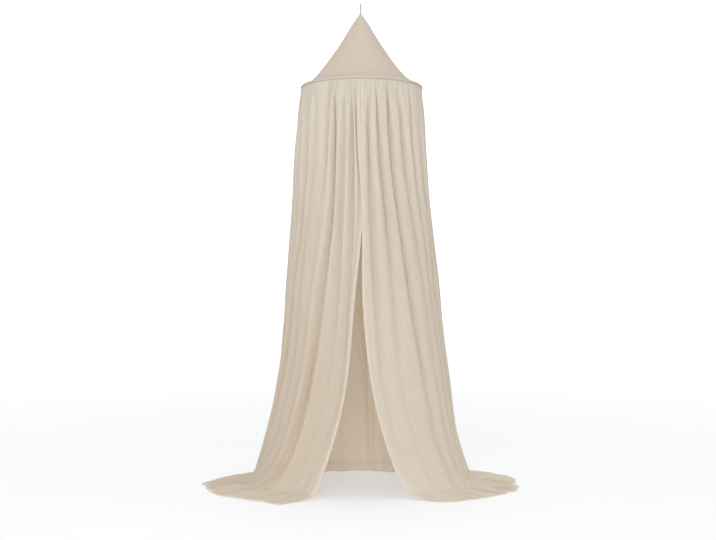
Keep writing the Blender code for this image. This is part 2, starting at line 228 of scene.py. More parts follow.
def tape_path():
    """Middle of the tape seen edge on from the side: up out of the tip, round the eye, and down again."""
    reach = EYE_RADIUS + TAPE_THICKNESS / 2
    leg = LEG_SPACING / 2
    parting = TIP_Z + LEG_TOP
    rising = [(leg, z) for z in np.linspace(TIP_Z - LOOP_TAIL, parting, LEG_STEPS + 1)]
    for share in np.arange(1, OPENING_STEPS) / OPENING_STEPS:
        rising.append((leg + (reach - leg) * eased(share), parting + (-EYE_RADIUS - parting) * share))
    angles = np.linspace(0, math.pi, EYE_STEPS + 1)
    over = list(zip(reach * np.cos(angles), -EYE_RADIUS + reach * np.sin(angles)))
    return np.array(rising + over + [(-y, z) for y, z in reversed(rising)])


def hanging_loop():
    path = tape_path()
    shares = np.linspace(-1, 1, 13)
    middle = np.zeros((len(path), len(shares), 3))
    middle[..., 0] = -shares * TAPE_WIDTH / 2
    middle[..., 1:] = path[:, None]
    cut = np.stack(np.meshgrid(shares * TAPE_WIDTH / 2, run_along(path)), axis=2)
    thickness = TAPE_THICKNESS * (1 + SELVEDGE * (np.abs(shares) > 0.8))[None]
    piece = cloth_shell("tape_loop", middle, grid_normals(middle), thickness, cut, tape_finish())
    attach(piece, "root")
    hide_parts("hang_loop")
    return piece


tape_loop = hanging_loop()

# ---- Cone ----
# One piece of closely woven cotton, cut as a sector and seamed down the back. Its tip is turned in round
# the tape. Its bottom edge goes round the hoop and up inside as a hem, which two rows of stitching hold.

HOOP_Z = -0.352
HOOP_SHIFT = 0.004  # the hoop hangs this far to the right of the hook, so the cone leans
HOOP_RADIUS = 0.2455
HOOP_TUBE_RADIUS = 0.0035
CASING_PLAY = 0.0026  # between the hoop and the cloth round it
CONE_CLOTH = 0.0012  # its thickness
CASING_RADIUS = HOOP_TUBE_RADIUS + CASING_PLAY + CONE_CLOTH / 2
CASING_START = 112.0  # degrees above level, where the cloth comes on to the hoop
CASING_END = -190.0  # and where it leaves it again, inside
CASING_STEPS = 26
HEM_OFFSET = (0.0012, 0.0021)  # how far the turned-up hem lies inside the cone, and below
CONE_COLUMNS = 288
ROW_RISES = (0.0108, 0.0190)  # the two rows of stitching that hold the hem, above the hoop
GROOVE_DEPTH = 0.0022  # how far the stitching draws the cloth in
GROOVE_WIDTH = 0.0026
PUCKER = 0.0005  # height of the small puckers along the stitching
ROW_SHADE = 0.16  # painted shade along the stitching: how much darker the cloth is drawn there
SEAM_SHADE = 0.28  # and painted shadow under the casing, where the panels are sewn to it
SEAM_START = -0.0022  # below the hoop's middle
PUCKERS = 96
PULL_FADES = (0.05, 0.06)  # lengths over which a soft fold of the cone begins and ends
CONE_WAVE = 0.0008  # height of its wide soft waves
CONE_COLOR = (0.675, 0.587, 0.493)
CONE_SHEER = 0.28  # share of the light that passes the cloth
CONE_THREAD_PITCH = 0.0007
SECTOR = 0.62  # the flat sector's angle, as a share of a full turn

# The cone's radius to the left and right, from its tip down to the crease behind the hoop
ConeRow = namedtuple("ConeRow", "rise left right")
CONE_PROFILE = [ConeRow(*row) for row in (
    (0.307, 0.0052, 0.0052), (0.301, 0.0100, 0.0098), (0.272, 0.0296, 0.0288), (0.238, 0.0520, 0.0490),
    (0.204, 0.0727, 0.0690), (0.170, 0.0945, 0.0905), (0.136, 0.1185, 0.1130), (0.102, 0.1435, 0.1370),
    (0.068, 0.1705, 0.1635), (0.044, 0.1910, 0.1845), (0.026, 0.2095, 0.2070), (0.0135, 0.2290, 0.2285),
    (0.0088, 0.2355, 0.2355), (0.0062, 0.2395, 0.2395),
)]
SLOPE_ROWS = 56  # rows of the mesh from the tip down to this height above the hoop
SLOPE_END = 0.034
CREASE_ROWS = 26  # and from there to the crease

# The tip's cloth where it is turned in: its radius, and how far below the tip
TUCKED = ((0.0043, 0.015), (0.0042, 0.008), (0.0044, 0.002), (0.0047, 0.0002))

# Soft folds that the hook draws in the cone: turn, start and end down from the tip, depth and half width
ConePull = namedtuple("ConePull", "turn start end depth width")
CONE_PULLS = [ConePull(*row) for row in (
    (-62, 0.05, 0.30, 0.0016, 9), (-24, 0.02, 0.21, -0.0010, 7),
    (17, 0.03, 0.26, 0.0012, 8), (58, 0.08, 0.33, -0.0016, 10),
    (104, 0.02, 0.29, 0.0018, 9), (150, 0.04, 0.24, -0.0013, 8),
    (-118, 0.03, 0.31, -0.0017, 10), (-155, 0.06, 0.27, 0.0014, 8),
)]


def through(places, values, at):
    """Values at these places on smooth curves through the given points, held level past both ends."""
    places = np.array(places, float)
    values = np.array(values, float)
    if places[0] > places[-1]:
        places, values = places[::-1], values[::-1]
    slopes = np.gradient(values, places, axis=0)
    at = np.clip(np.asarray(at, float), places[0], places[-1])
    i = np.clip(np.searchsorted(places, at, side="right") - 1, 0, len(places) - 2)
    span = places[i + 1] - places[i]
    t = (at - places[i]) / span
    if values.ndim > 1:
        span, t = span[..., None], t[..., None]
    start = values[i] * (1 + 2 * t) * (1 - t) ** 2 + slopes[i] * span * t * (1 - t) ** 2
    return start + values[i + 1] * t * t * (3 - 2 * t) - slopes[i + 1] * span * t * t * (1 - t)


def unevenness(across, along, cell_across, cell_along, seed):
    """Smooth noise from -1 to 1 over the flat cloth, with cells of this size in metres."""
    x = across / cell_across
    y = along / cell_along
    x, y = x - x.min(), y - y.min()
    column, row = np.floor(x).astype(int), np.floor(y).astype(int)
    corners = np.random.default_rng(seed).uniform(-1, 1, (row.max() + 2, column.max() + 2))
    s, t = eased(x - column), eased(y - row)
    upper = corners[row, column] * (1 - s) + corners[row, column + 1] * s
    lower = corners[row + 1, column] * (1 - s) + corners[row + 1, column + 1] * s
    return upper * (1 - t) + lower * t


def cone_meridian(side):
    """(radius, height) of the cloth's middle on one side, from inside the tip, down, round the hoop and up
    inside, and how many of its points are on the outside of the cone."""
    rises = [row.rise for row in CONE_PROFILE]
    slope = np.linspace(rises[0], SLOPE_END, SLOPE_ROWS)
    places = np.concatenate([slope, np.linspace(SLOPE_END, rises[-1], CREASE_ROWS)[1:]])
    radii = through(rises, [getattr(row, side) for row in CONE_PROFILE], places)
    tucked = [(radius, rises[0] - drop) for radius, drop in TUCKED]
    outside = np.concatenate([tucked, np.stack([radii, places], axis=1)])
    angles = np.radians(np.linspace(CASING_START, CASING_END, CASING_STEPS + 1))[:, None]
    casing = CASING_RADIUS * np.concatenate([np.cos(angles), np.sin(angles)], axis=1) + (HOOP_RADIUS, 0)
    inside = outside[-3:-19:-3] - HEM_OFFSET
    return np.concatenate([outside, casing, inside]), len(outside)


def marked(tree, mark):
    """The value from 0 to 1 that the mesh has under this name."""
    return add_node(tree, "Attribute", attribute_name=mark).outputs["Fac"]


def cone_finish():
    material, tree, place = new_material("cone_cotton")
    weave = plain_weave(tree, place, CONE_THREAD_PITCH)
    slubs = stretched_noise(tree, place, 0.0012, 0.03, detail=2.0)
    picks = stretched_noise(tree, place, 0.03, 0.0012, detail=2.0)
    cloudy = stretched_noise(tree, place, 0.05, 0.05)
    threads = arithmetic(tree, "MULTIPLY", slubs, picks)
    color = mixed_color(tree, cloudy, shaded(CONE_COLOR, -0.03), shaded(CONE_COLOR, 0.03))
    color = mixed_color(tree, threads, shaded(CONE_COLOR, -0.10), color)
    # painted shade along the stitching, and painted shadow under the casing
    for mark, shade in (("stitch_shade", ROW_SHADE), ("casing_shadow", SEAM_SHADE)):
        color = mixed_color(tree, marked(tree, mark), color, shaded(CONE_COLOR, -shade))
    normal = bumped(tree, weave, 0.00012, bumped(tree, threads, 0.0003))
    passing = (CONE_SHEER, (*shaded(CONE_COLOR, 0.1), 1))
    cover(tree, color, normal, 0.85, sheen=0.04, specular=0.25, passing=passing)
    return material


def cone():
    left, outer_rows = cone_meridian("left")
    right, outer_rows = cone_meridian("right")
    rows = len(right)
    turns = np.linspace(-180, 180, CONE_COLUMNS, endpoint=False)
    run = run_along(right)
    run_grid, turn_grid = np.meshgrid(run, turns, indexing="ij")
    pull = np.zeros((rows, CONE_COLUMNS))
    for fold in CONE_PULLS:
        begun, ended = [eased((run_grid - at) / fade) for at, fade in zip(fold[1:3], PULL_FADES)]
        pull += fold.depth * (begun * (1 - ended)) * np.exp(-(((turn_grid - fold.turn) / fold.width) ** 2))
    rise = right[:, 1][:, None]
    on_outside = (np.arange(rows) < outer_rows)[:, None]
    puckers = np.sin(np.radians(turn_grid) * PUCKERS + 2 * unevenness(turn_grid, run_grid, 20, 1, 5))
    puckers *= eased(unevenness(turn_grid, run_grid, 14, 1, 6) + 0.7)
    # painted shade along the two rows of stitching, for the shade in their grooves and puckers
    stitch_shade = 0 * pull
    for row_rise in ROW_RISES:
        groove = np.exp(-(((rise - row_rise) / GROOVE_WIDTH) ** 2)) * on_outside
        pull += groove * (PUCKER * puckers - GROOVE_DEPTH)
        stitch_shade += groove * (0.8 + 0.2 * puckers)
    pull += CONE_WAVE * unevenness(turn_grid, run_grid, 16, 0.07, 7) * eased(run_grid / 0.06) * on_outside
    angle = np.radians(turn_grid)
    radius = right[:, :1] + (left - right)[:, :1] * (1 - np.sin(angle)) / 2
    middle = np.stack([radius * np.sin(angle), -radius * np.cos(angle), HOOP_Z + rise + 0 * angle], axis=2)
    normals = grid_normals(middle, ring=True)
    middle += normals * pull[..., None]
    middle[..., 0] += HOOP_SHIFT * (TIP_Z - middle[..., 2]) / (TIP_Z - HOOP_Z)
    flat_turns = np.radians(np.linspace(-180, 180, CONE_COLUMNS + 1)) * SECTOR
    cut = np.stack([run[:, None] * np.sin(flat_turns), run[:, None] * np.cos(flat_turns)], axis=2)
    normals = grid_normals(middle, ring=True)
    # painted shadow on the casing's lower side, where the panels hang from it
    casing_shadow = np.tile(eased((SEAM_START - rise) / 0.0012), (1, CONE_COLUMNS))
    marks = {"stitch_shade": np.clip(stitch_shade, 0, 1), "casing_shadow": casing_shadow}
    piece = cloth_shell("cone_cloth", middle, normals, CONE_CLOTH, cut, cone_finish(), ring=True, marks=marks)
    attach(piece, "root")
    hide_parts("cone")
    surface = middle + normals * CONE_CLOTH / 2
    return piece, surface[:outer_rows], float(run[-1])


cone_cloth, cone_surface, cone_slant = cone()

# ---- Stitching of the cone ----
# Two rows of lockstitch in matching cotton thread run round the cone just above the hoop and hold its hem.
# A third row closes the seam down the back.

THREAD_RADIUS = 0.00028
STITCH_LENGTH = 0.0027
STITCH_PITCH = 0.0034
THREAD_COLOR = (0.60, 0.50, 0.40)
STITCH_SIZES = (0.88, 1.08)  # the smallest and the largest, as shares
SEAM_ROW = 6  # row of the cone's mesh where the seam's stitching starts


def new_rule(name, inputs, kinds, links, values, settings=()):
    """A geometry node tree. Each link names a node and its output, then a node and its input. What reaches
    the node "real" is made smooth, gets the material and leaves the tree."""
    tree = bpy.data.node_groups.new(name, "GeometryNodeTree")
    for socket, kind in inputs + (("Material", "Material"),):
        tree.interface.new_socket(socket, in_out="INPUT", socket_type="NodeSocket" + kind)
    tree.interface.new_socket("Made", in_out="OUTPUT", socket_type="NodeSocketGeometry")
    kinds += (
        ("given", "NodeGroupInput"), ("real", "GeometryNodeRealizeInstances"),
        ("smooth", "GeometryNodeSetShadeSmooth"), ("finish", "GeometryNodeSetMaterial"),
        ("result", "NodeGroupOutput"),
    )
    links += (
        ("real", 0, "smooth", "Geometry"), ("smooth", 0, "finish", "Geometry"),
        ("given", "Material", "finish", "Material"), ("finish", 0, "result", "Made"),
    )
    nodes = {key: tree.nodes.new(kind) for key, kind in kinds}
    for key, setting, value in settings:
        setattr(nodes[key], setting, value)
    for start, output, end, socket in links:
        tree.links.new(nodes[start].outputs[output], nodes[end].inputs[socket])
    for key, socket, value in values:
        nodes[key].inputs[socket].default_value = value
    return tree


def stitching_rule():
    """A tree that lays a stitch at every step of a line, each turned along it and a little uneven."""
    inputs = (
        ("Line", "Geometry"), ("Pitch", "Float"), ("Length", "Float"), ("Thread radius", "Float"),
        ("Seed", "Int"),
    )
    kinds = (
        ("steps", "GeometryNodeResampleCurve"), ("bead", "GeometryNodeMeshUVSphere"),
        ("half", "ShaderNodeMath"), ("size", "ShaderNodeCombineXYZ"), ("stitch", "GeometryNodeTransform"),
        ("tangent", "GeometryNodeInputTangent"), ("aim", "FunctionNodeAlignRotationToVector"),
        ("uneven", "FunctionNodeRandomValue"), ("lay", "GeometryNodeInstanceOnPoints"),
    )
    settings = (
        ("steps", "mode", "LENGTH"), ("aim", "axis", "X"), ("half", "operation", "MULTIPLY"),
        ("uneven", "data_type", "FLOAT"),
    )
    links = (
        ("given", "Line", "steps", "Curve"), ("given", "Pitch", "steps", "Length"),
        ("given", "Length", "half", 0), ("half", 0, "size", 0),
        ("given", "Thread radius", "size", 1), ("given", "Thread radius", "size", 2),
        ("bead", "Mesh", "stitch", "Geometry"), ("size", 0, "stitch", "Scale"),
        ("tangent", 0, "aim", "Vector"), ("given", "Seed", "uneven", "Seed"),
        ("steps", 0, "lay", "Points"), ("stitch", 0, "lay", "Instance"),
        ("aim", 0, "lay", "Rotation"), ("uneven", 1, "lay", "Scale"), ("lay", 0, "real", 0),
    )
    values = (
        ("half", 1, 0.5), ("bead", "Segments", 6), ("bead", "Rings", 4), ("bead", "Radius", 1.0),
        ("uneven", "Min", STITCH_SIZES[0]), ("uneven", "Max", STITCH_SIZES[1]),
    )
    return new_rule("stitching", inputs, kinds, links, values, settings)


def made_by(rule, start, name, values):
    """The mesh that a rule makes out of a starting object, which is removed."""
    modifier = start.modifiers.new(rule.name, "NODES")
    modifier.node_group = rule
    for socket in rule.interface.items_tree:
        if socket.name in values:
            modifier[socket.identifier] = values[socket.name]
    mesh = bpy.data.meshes.new_from_object(start.evaluated_get(bpy.context.evaluated_depsgraph_get()))
    bpy.data.objects.remove(start)
    return in_scene(name, mesh)


def thread_finish():
    material, tree, place = new_material("sewing_thread", on_cloth=False)
    twist = noise(tree, place, 900.0, 2.0)
    color = mixed_color(tree, twist, shaded(THREAD_COLOR, -0.12), shaded(THREAD_COLOR, 0.12))
    cover(tree, color, bumped(tree, twist, 0.0001), 0.7, sheen=0.1)
    return material


stitching = stitching_rule()
thread = thread_finish()


def stitched(name, lines, seed):
    """One mesh of the stitches along these lines, each a closed or open run of points on the cloth."""
    curve = bpy.data.curves.new(name + "_lines", "CURVE")
    curve.dimensions = "3D"
    for points, closed in lines:
        spline = curve.splines.new("POLY")
        spline.points.add(len(points) - 1)
        spline.points.foreach_set("co", np.c_[points, np.ones(len(points))].ravel())
        spline.use_cyclic_u = closed
    values = {"Pitch": STITCH_PITCH, "Length": STITCH_LENGTH, "Thread radius": THREAD_RADIUS, "Seed": seed}
    piece = made_by(stitching, in_scene(name + "_lines", curve), name, {**values, "Material": thread})
    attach(piece, "root")
    return piece


def stitch_cone():
    heights = cone_surface[:, 0, 2] - HOOP_Z
    lines = []
    for rise in ROW_RISES:
        row = int(np.argmin(np.abs(heights - rise)))
        lines.append((cone_surface[row], True))
    lines.append((cone_surface[SEAM_ROW:row - 1, 1], False))
    stitches = stitched("cone_stitches", lines, 3)


stitch_cone()

# ---- Hoop ----
# A round rod of white plastic, bent to a ring, that lies loose in the cone's hem and holds it open. Only
# its shape shows, as the round rim.

HOOP_COLOR = (0.80, 0.78, 0.74)
RING_STEPS = 192
TUBE_STEPS = 16


def rod_finish():
    material, tree, place = new_material("hoop_plastic", on_cloth=False)
    scuffs = noise(tree, place, 140.0, 4.0)
    color = mixed_color(tree, scuffs, shaded(HOOP_COLOR, -0.05), shaded(HOOP_COLOR, 0.03))
    cover(tree, color, bumped(tree, scuffs, 0.0001), arithmetic(tree, "MULTIPLY_ADD", scuffs, 0.2, 0.35))
    return material


def hoop_rule():
    """A tree that bends a round rod to a ring."""
    inputs = (("Start", "Geometry"), ("Ring radius", "Float"), ("Rod radius", "Float"))
    kinds = (
        ("ring", "GeometryNodeCurvePrimitiveCircle"), ("section", "GeometryNodeCurvePrimitiveCircle"),
        ("rod", "GeometryNodeCurveToMesh"), ("place", "GeometryNodeTransform"),
    )
    links = (
        ("given", "Ring radius", "ring", "Radius"), ("given", "Rod radius", "section", "Radius"),
        ("ring", "Curve", "rod", "Curve"), ("section", "Curve", "rod", "Profile Curve"),
        ("rod", 0, "place", "Geometry"), ("place", 0, "real", 0),
    )
    values = (
        ("ring", "Resolution", RING_STEPS), ("section", "Resolution", TUBE_STEPS),
        ("place", "Translation", (HOOP_SHIFT, 0, HOOP_Z)),
    )
    return new_rule("bent_rod", inputs, kinds, links, values)


def hoop():
    start = in_scene("bent_rod", bpy.data.meshes.new("bent_rod"))
    values = {"Ring radius": HOOP_RADIUS, "Rod radius": HOOP_TUBE_RADIUS, "Material": rod_finish()}
    piece = made_by(hoop_rule(), start, "hoop_rod", values)
    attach(piece, "root")
    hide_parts("hoop")


hoop()

# ---- Muslin panels ----
# Two widths of crinkled open muslin, gathered into the seam under the hoop. Each is hemmed down its front
# edge and along the floor, and they are felled together behind. Their surplus length lies on the floor.

FLOOR_Z = -1.995
HOOP_HEIGHT = HOOP_Z - FLOOR_Z
MUSLIN = 0.0010  # thickness of the cloth
SEW_GAP = 0.0003  # between pieces that are sewn together
TOP_EDGE = HOOP_HEIGHT - 0.0062  # the gathers are sewn along the underside of the casing
CUT_WIDTH = 1.30
GATHER_START = 0.014  # below the top edge, where the folds come out
GATHER_RUN = 0.13  # and where the gathers have opened out
GATHER_SHARE = 0.22  # share of its full depth that a fold has where it comes out
PINCH = 2.0  # how much narrower the valleys are in the gathers
VALLEY_ROUNDING = 0.16
SLACK_ROUNDING = 0.18  # added to it lower down, where the folds hang looser
HEM_OVAL = (0.655, 0.655, 0.45, 0.42)  # how far the hem reaches to the left, right, front and back
HEM_CREST = 0.0015  # how high the ridges stand at the hem, on the floor
HEM_FRILL = 0.0062  # how far its small frill goes in and out
REAR_TURN = 108.0  # past this turn the cloth drops straight to the floor and its surplus lies behind
REAR_BULGE = 0.012  # how far it bulges inwards there, just above the floor
BULGE_HEIGHT = 0.026
BULGE_SPREAD = 0.018
FLAT_VALLEY = 0.010  # a fold this deep lies right down on the floor
CLEARANCE = 0.0001  # between the cloth and the floor
SETTLING = 0.75  # share of the way out to the hem over which the cloth comes down, and the same behind
REAR_SETTLING = 0.08
EDGE_SPREAD = 30.0  # turn over which the cloth swings out on the floor with a front edge
SWING_START = 0.105  # below this height the front edges swing outwards
SWUNG_HANGING = 0.78  # share of the swing at floor height, if the cloth hung so far down
TIP_TURN = 55.0  # folds near this turn are drawn the most towards the side tips on the floor
TIP_SPREAD = 18.0
TIP_START = 0.16  # below this height
CALM_TURN = 24.0  # and nearer the front than this turn they aren't drawn
CALM_SPREAD = 14.0
HEM_WIDTH = 0.012
HEM_THICKNESS = 0.0009  # what the turned hem adds
FELL_WIDTH = 0.008
HEM_BLEND = 0.002  # over which that thickness runs out
FOLD_LEAN = 0.09  # how far a fold may lean to one side, as a share of its width
COLUMNS_A_FOLD = 18
EDGE_COLUMNS = 26
EDGE_FLANK = 0.5  # share of the way from the last valley to a front edge that is a slope
HANGING_STEPS = 7  # rows between two of the heights below
LYING_STEPS = 7
HANGING_SAMPLE = 100  # rows that give the width across the flat cloth

# Outline of the hanging cloth at each height: how far its ridges reach to each side
Section = namedtuple("Section", "height left right front back")
SECTIONS = [Section(*row) for row in (
    (1.638, 0.2496, 0.2488, 0.2496, 0.2492), (1.628, 0.2518, 0.2496, 0.2508, 0.2506),
    (1.600, 0.2561, 0.2508, 0.2526, 0.2524), (1.555, 0.2622, 0.2560, 0.2560, 0.2560),
    (1.470, 0.2700, 0.2620, 0.2620, 0.2620), (1.350, 0.2795, 0.2685, 0.2650, 0.2660),
    (1.180, 0.2885, 0.2820, 0.2680, 0.2700), (1.015, 0.2990, 0.3010, 0.2700, 0.2730),
    (0.850, 0.3120, 0.3195, 0.2720, 0.2760), (0.680, 0.3215, 0.3365, 0.2760, 0.2790),
    (0.515, 0.3370, 0.3550, 0.2810, 0.2830), (0.350, 0.3660, 0.3760, 0.2860, 0.2870),
    (0.225, 0.3930, 0.3965, 0.2920, 0.2900), (0.140, 0.4165, 0.4195, 0.2995, 0.2930),
    (0.100, 0.4300, 0.4320, 0.3070, 0.2960), (0.060, 0.4440, 0.4465, 0.3210, 0.3010),
    (0.028, 0.4700, 0.4650, 0.3460, 0.3110), (0.008, 0.5000, 0.4950, 0.3700, 0.3280),
)]

# The heights that the columns of the next tables stand for
STATIONS = (1.60, 1.40, 1.15, 0.75, 0.38, 0.10)

# The valleys between the folds: the turn of each at the stations, then its depth there in millimetres
Fold = namedtuple("Fold", "top shoulder chest waist knee foot d_top d_shoulder d_chest d_waist d_knee d_foot")
LEFT_FOLDS = [Fold(*row) for row in (
    (-169, -168.5, -168, -168, -168.5, -170, 12, 17, 15, 13, 9, 6),
    (-157, -156, -155, -153, -155, -158, 12, 20, 19, 19, 15, 10),
    (-145, -144.5, -143.5, -142.5, -144, -148, 14, 18, 13, 9, 6, 5),
    (-132, -131.5, -131, -130, -134, -138, 12, 21, 22, 21, 18, 12),
    (-121, -119, -119, -121, -125, -130, 13, 17, 14, 10, 6, 5),
    (-109, -107.5, -107, -109, -115, -121, 13, 22, 24, 24, 20, 13),
    (-97, -95, -95, -97, -104, -111, 12, 17, 13, 9, 8, 7),
    (-84, -82.5, -82, -85, -91, -101, 11, 19, 20, 20, 16, 10),
    (-72, -70, -68.5, -75, -82.5, -92, 8, 9, 10, 9, 9, 8),
    (-60, -55.5, -54.5, -65, -73, -82, 7, 22, 33, 38, 27, 15),
    (-48, -43.5, -46, -54.5, -59.5, -70, 6, 6, 6, 7, 10, 9),
    (-30.6, -31, -34.5, -43.5, -49.5, -59, 16, 18, 7, 4, 6, 9),
    (-25, -23.8, -23.8, -33.6, -41, -49.5, 10, 24, 25, 25, 29, 22),
    (-16.2, -16, -17, -20.3, -26.5, -35, 10, 13, 15, 15, 6, 6),
    (-9.4, -7.8, -7.6, -10.3, -15.5, -27, 10, 20, 17, 10, 4, 5),
    # the next one's cloth goes behind the right panel's edge
    (-5.8, -3.2, -1.2, -7.8, -12.9, -23.5, 12, 14, 12, 3, 3, 4),
)]
RIGHT_FOLDS = [Fold(*row) for row in (
    (5.5, 6, 7.4, 10.6, 15.5, 26, 11, 21, 20, 18, 9, 5),
    (13.1, 15.5, 19.6, 24.5, 28.5, 37, 14, 22, 23, 13, 6, 5),
    (24, 27, 31, 39.5, 48.3, 53, 14, 26, 22, 27, 18, 10),
    (35.2, 40.2, 45.5, 53.5, 59, 63, 17, 28, 19, 6, 7, 12),
    (51.7, 54.3, 58, 62.5, 70, 76, 22, 24, 10, 5, 5, 6),
    (64.5, 67.5, 69.8, 69, 80, 90, 14, 15, 28, 22, 14, 9),
    (79, 80, 80.5, 85, 95, 101, 12, 17, 12, 9, 8, 7),
    (91, 91.5, 92.5, 96, 105, 112, 13, 21, 21, 21, 17, 11),
    (104, 104, 104.5, 107, 115, 121, 12, 17, 12, 9, 7, 6),
    (115, 116, 117, 118.5, 125, 130, 13, 20, 22, 22, 18, 12),
    (128, 128, 128.5, 130, 134, 138, 13, 18, 13, 8, 6, 5),
    (139.5, 140.5, 141, 141.5, 144, 147, 12, 20, 19, 20, 16, 10),
    (151, 151.5, 152, 151.5, 153, 155.5, 12, 17, 14, 11, 8, 6),
    (161, 161.5, 162, 161, 162.5, 163.5, 12, 19, 18, 17, 13, 9),
    (171.5, 171, 171, 171.5, 171, 172, 11, 15, 12, 9, 7, 5),
)]

# The front edges in the same way
LEFT_EDGE = Fold(-0.5, -0.3, 1.0, -5.2, -10.9, -20.0, 9, 9, 9, 3, 3, 3)
RIGHT_EDGE = Fold(-3.7, -3.5, 0.0, 0.8, 7.5, 17.9, 5, 5, 4, 3, 3, 3)

# And the seam behind, but with metres to the right of the middle in place of its turns
BACK_SEAM = Fold(0.0, 0.001, 0.002, 0.008, 0.018, 0.024, 6, 10, 10, 9, 7, 5)

# What each panel has of its own: the turn of its front edge at the hem, how far its folds are drawn to the
# side tip, the height of its ripples on the floor, and its share of the painted shade low down
Panel = namedtuple("Panel", "name node side folds edge hem_turn tip_pull ripple_height low_shade seed")
LEFT = Panel("left_panel", "drape_left", -1, LEFT_FOLDS, LEFT_EDGE, -24.3, 15.0, 0.024, 0.55, 21)
RIGHT = Panel("right_panel", "drape_right", 1, RIGHT_FOLDS, RIGHT_EDGE, 26.6, 8.0, 0.012, 0.0, 41)

# How far the hem reaches over the floor at each turn, as a share of the hem's oval
HemRow = namedtuple("HemRow", "turn share")
HEM = [HemRow(*row) for row in (
    (-180, 1), (-160, 0.96), (-140, 0.985), (-127, 0.94), (-118, 0.965), (-110, 0.975), (-100.5, 0.985),
    (-91.4, 1.012), (-84, 0.982), (-76, 0.98), (-60, 1.003), (-48, 0.98), (-40, 0.993), (-34, 0.992),
    (-30.5, 1.025), (-28, 1.045), (-26.6, 1.035), (-25.5, 0.955), (-24.2, 0.865), (26.6, 0.878),
    (29, 0.925), (32, 0.955), (42, 0.96), (55, 0.975), (72, 0.99), (84, 0.985), (90, 0.965),
    (99, 1.005), (109.5, 1.05), (120, 1.062), (130, 1.08), (142, 1.03), (160, 0.97), (180, 1),
)]

# Soft waves and crinkles in the cloth: height, the size of a cell across and down, and how far below the top
# edge they are at full height
Wave = namedtuple("Wave", "height across down start")
WAVES = [Wave(*row) for row in (
    (0.0030, 0.09, 0.30, 0.12), (0.0016, 0.035, 0.16, 0.10), (0.0008, 0.014, 0.08, 0.06),
)]
GATHER_DEPTH = 0.0042  # of the narrow gathers at the top edge, and what is left of it lower down
GATHER_REST = 0.0006
GATHER_FADE = 0.26
REAR_RELIEF = 1.3  # how much more the cloth stands out of its folds beside the seam behind
FINE_RIPPLES = 0.0045
HEM_CALM = 0.85  # share of the ripples' height that is gone at the hem
CREASE_WIDTH = 0.3  # share of the way up a ripple that its crease takes up

# Heights of the main rows of the hanging cloth, then how far out to the hem those on the floor lie
HANGING_ROWS = (
    TOP_EDGE, 1.618, 1.588, 1.540, 1.470, 1.360, 1.200, 1.030, 0.860,
    0.700, 0.540, 0.400, 0.280, 0.180, 0.105, 0.055, 0.024,
)
LYING_ROWS = (0.0, 0.20, 0.42, 0.68, 0.88, 1.0)


def outline(heights):
    """How far the ridges reach to the left, right, front and back at these heights."""
    return through([row.height for row in SECTIONS], [row[1:] for row in SECTIONS], heights)


def on_oval(reach, turn):
    """The points at these turns of ovals with a different reach to the left, right, front and back."""
    left, right, front, back = np.moveaxis(reach, -1, 0)
    sine, cosine = np.sin(np.radians(turn)), np.cos(np.radians(turn))
    return np.where(sine > 0, right, left) * sine, -np.where(cosine > 0, front, back) * cosine


def gathered(heights):
    """Share of its depth that a fold has at these heights: none in the seam, and all below the gathers."""
    below = TOP_EDGE - heights
    return GATHER_SHARE * eased(below / GATHER_START) + (1 - GATHER_SHARE) * eased(below / GATHER_RUN)


def valley(phase, heights):
    """Share of its depth across a fold: 1 in the valley, at phase 0, and 0 on the ridge, at phase 0.5."""
    rounding = VALLEY_ROUNDING + SLACK_ROUNDING * eased((1.2 - heights) / 0.6)[:, None]
    pinch = 1 + PINCH * (1 - eased((TOP_EDGE - heights) / 0.24))[:, None]
    rise = np.hypot(np.sin(math.pi * phase), rounding) - rounding
    return (1 - rise / (np.hypot(1, rounding) - rounding)) ** pinch


def line_at(line, heights):
    """Turn and depth of a fold or an edge at these heights."""
    depth = through(STATIONS, line[-len(STATIONS):], heights) / 1000
    return through(STATIONS, line[:len(STATIONS)], heights), depth * gathered(heights)


def seam_at(heights, side):
    """Turn and depth of a panel's side of the seam behind. side is -1 on the left and 1 on the right."""
    shift, depth = line_at(BACK_SEAM, heights)
    shift = shift + side * SEW_GAP / 2
    reach = outline(heights)
    reach = np.where(shift > 0, reach[..., 1], reach[..., 0]) - depth
    return side * 180 - np.degrees(np.arcsin(shift / reach)), depth


def panel_columns(panel, heights):
    """Turn and depth of a panel's columns at these heights, from the seam behind to the front edge."""
    lines = [line_at(fold, heights) for fold in panel.folds]
    if panel.side > 0:
        lines.reverse()
    lines.insert(0, seam_at(heights, panel.side))
    lean = np.random.default_rng(11 + panel.side).uniform(-FOLD_LEAN, FOLD_LEAN, len(lines))
    turns, depths = [], []
    for number, ((turn, depth), (next_turn, next_depth)) in enumerate(zip(lines, lines[1:])):
        phase = np.arange(COLUMNS_A_FOLD)[None] / COLUMNS_A_FOLD
        across = phase + lean[number] * np.sin(2 * math.pi * phase)
        turns.append(turn[:, None] + (next_turn - turn)[:, None] * across)
        near = depth[:, None] * valley(phase, heights)
        far = next_depth[:, None] * valley(1 - phase, heights)
        depths.append(np.where(phase < 0.5, near, far))
    turn, depth = [part[:, None] for part in lines[-1]]
    edge_turn, edge_depth = [part[:, None] for part in line_at(panel.edge, heights)]
    share = np.linspace(0, 1, EDGE_COLUMNS)[None]
    turns.append(turn + (edge_turn - turn) * share)
    flank = valley(np.minimum(1, share / EDGE_FLANK) / 2, heights)
    depths.append(edge_depth + (depth - edge_depth) * flank)
    return np.concatenate(turns, axis=1), np.concatenate(depths, axis=1)


def swung(panel, turn, share):
    """The turn after the front edge has done this share of its swing outwards over the floor."""
    nearness = np.maximum(0, 1 - np.abs(turn - panel.edge.foot) / EDGE_SPREAD)
    return turn + (panel.hem_turn - panel.edge.foot) * nearness * share


